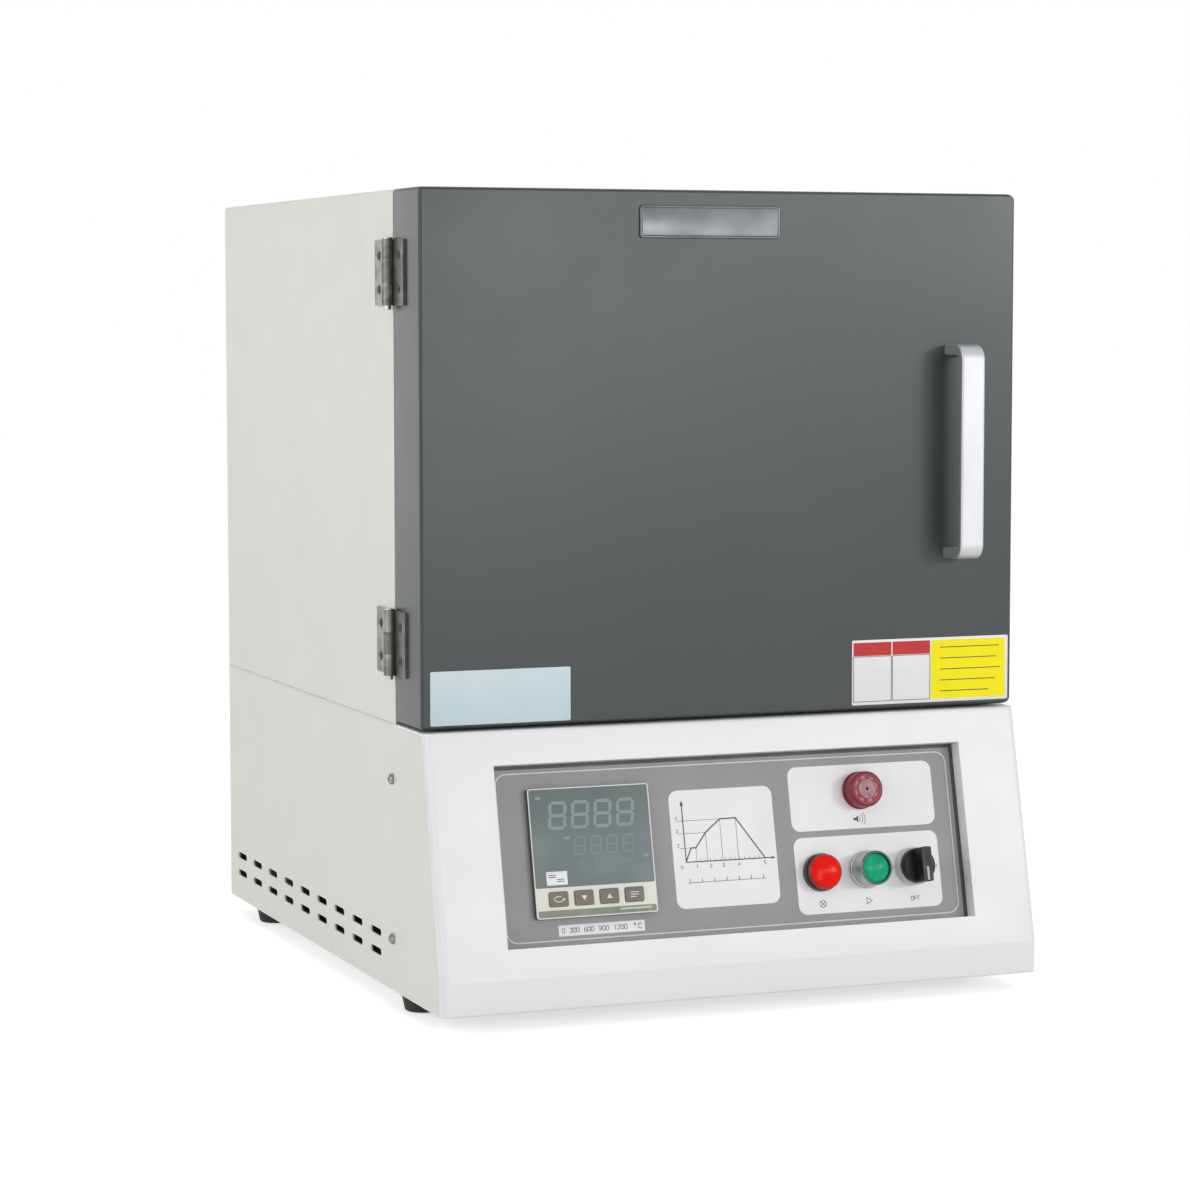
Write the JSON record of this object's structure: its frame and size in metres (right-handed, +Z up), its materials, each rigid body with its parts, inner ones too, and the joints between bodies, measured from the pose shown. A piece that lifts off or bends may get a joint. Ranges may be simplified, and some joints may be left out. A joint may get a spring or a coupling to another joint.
{
  "type": "muffle furnace",
  "caption": "Bench-top muffle furnace: an insulated box chamber behind a side-hinged door, on a base with a sloped panel that carries a controller, lamp, button, selector and buzzer.",
  "frame": {"origin": "on the bench, under the middle of the furnace's bounding box", "axes": "+Z up, +Y towards the back, +X to the right seen from the front; the door and panel face -Y"},
  "size_m": [0.4952, 0.6027, 0.6135],
  "materials": {
    "casing_paint": "satin",
    "front_paint": "satin",
    "door_paint": "satin",
    "panel_paint": "satin",
    "frame_steel": "matte",
    "sheet_steel": "satin",
    "hinge_steel": "satin",
    "screw_steel": "satin",
    "handle_aluminium": "satin",
    "sink_aluminium": "matte",
    "fibre_board": "matte",
    "gasket_tape": "matte",
    "heater_wire": "matte",
    "hearth_ceramic": "matte",
    "sheath_ceramic": "satin",
    "foot_rubber": "matte",
    "bezel_plastic": "matte",
    "window_plastic": "gloss",
    "key_plastic": "matte",
    "lamp_plastic": "gloss",
    "dark_plastic": "matte",
    "buzzer_plastic": "satin",
    "guard_metal": "satin",
    "button_plastic": "gloss",
    "collar_plastic": "satin",
    "catch_plastic": "matte"
  },
  "bodies": {
    "cabinet": {"outer_casing": "casing_paint", "rear_panel": "casing_paint", "face_plate": "sheet_steel", "inner_shell": "sheet_steel", "insulation_floor": "fibre_board", "insulation_roof": "fibre_board", "insulation_left": "fibre_board", "insulation_right": "fibre_board", "insulation_rear": "fibre_board", "heater_left": "heater_wire", "heater_right": "heater_wire", "hearth_plate": "hearth_ceramic", "thermocouple": "sheath_ceramic", "door_catch": "catch_plastic", "cabinet_leaf_upper": "hinge_steel", "cabinet_leaf_lower": "hinge_steel", "hinge_pins": "screw_steel", "fascia": "front_paint", "base_side_left": "casing_paint", "base_side_right": "casing_paint", "deck_plate": "casing_paint", "floor_pan": "sheet_steel", "base_rear_panel": "casing_paint", "support_frame": "frame_steel", "foot_front_left": "foot_rubber", "foot_front_right": "foot_rubber", "foot_rear_left": "foot_rubber", "foot_rear_right": "foot_rubber", "side_screws": "screw_steel", "panel_plate": "panel_paint", "controller_case": "bezel_plastic", "controller_window": "window_plastic", "lamp_bezel": "dark_plastic", "lamp_lens": "lamp_plastic", "buzzer_body": "buzzer_plastic", "buzzer_cap": "buzzer_plastic", "start_bezel": "guard_metal", "selector_collar": "collar_plastic", "ring_nuts": "dark_plastic", "contact_blocks": "dark_plastic", "fan_frame": "dark_plastic", "fan_guard": "screw_steel", "cable_gland": "dark_plastic", "heat_sink": "sink_aluminium", "power_relay": "dark_plastic"},
    "door": {"door_shell": "door_paint", "door_liner": "sheet_steel", "door_plug": "fibre_board", "door_gasket": "gasket_tape", "handle": "handle_aluminium", "handle_screws": "screw_steel", "door_leaf_upper": "hinge_steel", "door_leaf_lower": "hinge_steel"},
    "start_button": {"start_button": "button_plastic"},
    "selector_knob": {"selector_knob": "dark_plastic"},
    "key_1": {"key_1": "key_plastic"},
    "key_2": {"key_2": "key_plastic"},
    "key_3": {"key_3": "key_plastic"},
    "key_4": {"key_4": "key_plastic"},
    "fan_rotor": {"fan_rotor": "dark_plastic"}
  },
  "joints": [
    {"name": "door_swing", "type": "hinge", "parent": "cabinet", "child": "door", "pos_m": [-0.2467, -0.193, 0.415], "axis": [0, 0, -1], "range_deg": [0, 175]},
    {"name": "start_press", "type": "slide", "parent": "cabinet", "child": "start_button", "axis": [0, 0.974, -0.2267], "range_m": [0, 0.004], "stiffness_N_per_m": 900, "springref_m": -0.001},
    {"name": "selector_turn", "type": "hinge", "parent": "cabinet", "child": "selector_knob", "pos_m": [0.1468, -0.27329, 0.09899], "axis": [0, -0.974, 0.2267], "range_deg": [0, 90]},
    {"name": "key_1_press", "type": "slide", "parent": "cabinet", "child": "key_1", "axis": [0, 0.974, -0.2267], "range_m": [0, 0.0008], "stiffness_N_per_m": 2000, "springref_m": -0.0005},
    {"name": "key_2_press", "type": "slide", "parent": "cabinet", "child": "key_2", "axis": [0, 0.974, -0.2267], "range_m": [0, 0.0008], "stiffness_N_per_m": 2000, "springref_m": -0.0005},
    {"name": "key_3_press", "type": "slide", "parent": "cabinet", "child": "key_3", "axis": [0, 0.974, -0.2267], "range_m": [0, 0.0008], "stiffness_N_per_m": 2000, "springref_m": -0.0005},
    {"name": "key_4_press", "type": "slide", "parent": "cabinet", "child": "key_4", "axis": [0, 0.974, -0.2267], "range_m": [0, 0.0008], "stiffness_N_per_m": 2000, "springref_m": -0.0005},
    {"name": "fan_spin", "type": "hinge", "parent": "cabinet", "child": "fan_rotor", "pos_m": [0.13, 0.262, 0.1245], "axis": [0, 1, 0], "continuous": true}
  ]
}
